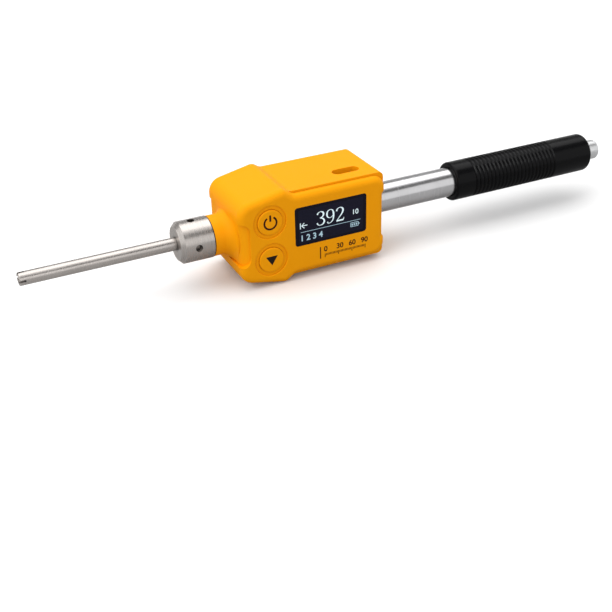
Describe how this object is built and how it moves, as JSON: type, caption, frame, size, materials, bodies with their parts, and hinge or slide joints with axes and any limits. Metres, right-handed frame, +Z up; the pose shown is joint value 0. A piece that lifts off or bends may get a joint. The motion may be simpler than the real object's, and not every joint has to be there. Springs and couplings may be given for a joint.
{
  "type": "rebound hardness tester",
  "caption": "Hand-held rebound hardness tester: slim probe tube, moulded housing with display and keys, steel barrel and sliding loading grip with a release button.",
  "frame": {"origin": "centre of the probe tube's open tip, on the tester's axis", "axes": "+X along the axis from the tip to the release button, -Y out of the display, +Z up across the housing towards the charging slot"},
  "size_m": [0.2174, 0.0268, 0.0328],
  "materials": {
    "satin_steel": "satin turned stainless steel",
    "polished_steel": "polished ground steel",
    "housing_yellow": "fine semi-gloss moulded plastic",
    "key_yellow": "semi-gloss moulded plastic",
    "grip_black": "gloss black coating",
    "button_grey": "satin turned aluminium",
    "seal_rubber": "black rubber",
    "lens": "polished dark acrylic",
    "screw_steel": "blackened steel",
    "circuit_board": "green solder resist",
    "part_black": "matte black plastic",
    "socket_shell": "nickel-plated steel",
    "cell_foil": "grey cell wrap",
    "coil_copper": "enamelled copper wire",
    "spring_steel": "drawn spring wire",
    "hard_metal": "ground carbide",
    "tube_brass": "turned brass"
  },
  "bodies": {
    "housing": {"nose_tube": "satin_steel", "front_collar": "satin_steel", "collar_seal": "seal_rubber", "guide_tube": "satin_steel", "coil_bobbin": "part_black", "coil_winding": "coil_copper", "barrel_tube": "polished_steel", "tube_holder": "tube_brass", "tube_seal": "seal_rubber", "spring_seat": "tube_brass", "loading_spring": "spring_steel", "front_shell": "housing_yellow", "rear_cover": "housing_yellow", "cover_screws": "screw_steel", "display_window": "lens", "oled_module": "part_black", "display_frame": "part_black", "main_board": "circuit_board", "board_screws": "screw_steel", "power_switch": "part_black", "down_switch": "part_black", "usb_socket": "socket_shell", "usb_board": "circuit_board", "battery": "cell_foil"},
    "impact": {"impact_body": "satin_steel", "impact_ball": "hard_metal", "body_magnet": "hard_metal"},
    "grip": {"grip_sleeve": "grip_black", "grip_end_cap": "grip_black", "rear_bush": "tube_brass", "chuck_tube": "satin_steel", "catch_chuck": "satin_steel", "impact_spring": "spring_steel", "rod_guide": "tube_brass", "button_spring": "spring_steel"},
    "release": {"release_button": "button_grey", "release_rod": "satin_steel"},
    "power_key": {"power_button": "key_yellow"},
    "down_key": {"down_button": "key_yellow"}
  },
  "joints": [
    {"name": "grip_slide", "type": "slide", "parent": "housing", "child": "grip", "axis": [-1, 0, 0], "range_m": [0, 0.03], "stiffness_N_per_m": 60, "springref_m": -0.04, "deforming": ["loading_spring"]},
    {"name": "impact_body_slide", "type": "slide", "parent": "housing", "child": "impact", "axis": [-1, 0, 0], "range_m": [0, 0.03]},
    {"name": "release_press", "type": "slide", "parent": "grip", "child": "release", "axis": [-1, 0, 0], "range_m": [0, 0.002], "stiffness_N_per_m": 800, "springref_m": -0.002, "deforming": ["button_spring"]},
    {"name": "power_press", "type": "slide", "parent": "housing", "child": "power_key", "axis": [0, 1, 0], "range_m": [0, 0.0005], "stiffness_N_per_m": 1500, "springref_m": -0.001},
    {"name": "down_press", "type": "slide", "parent": "housing", "child": "down_key", "axis": [0, 1, 0], "range_m": [0, 0.0005], "stiffness_N_per_m": 1500, "springref_m": -0.001}
  ],
  "couplings": [
    {"joint": "impact_body_slide", "follows": "grip_slide", "ratio": 1}
  ]
}
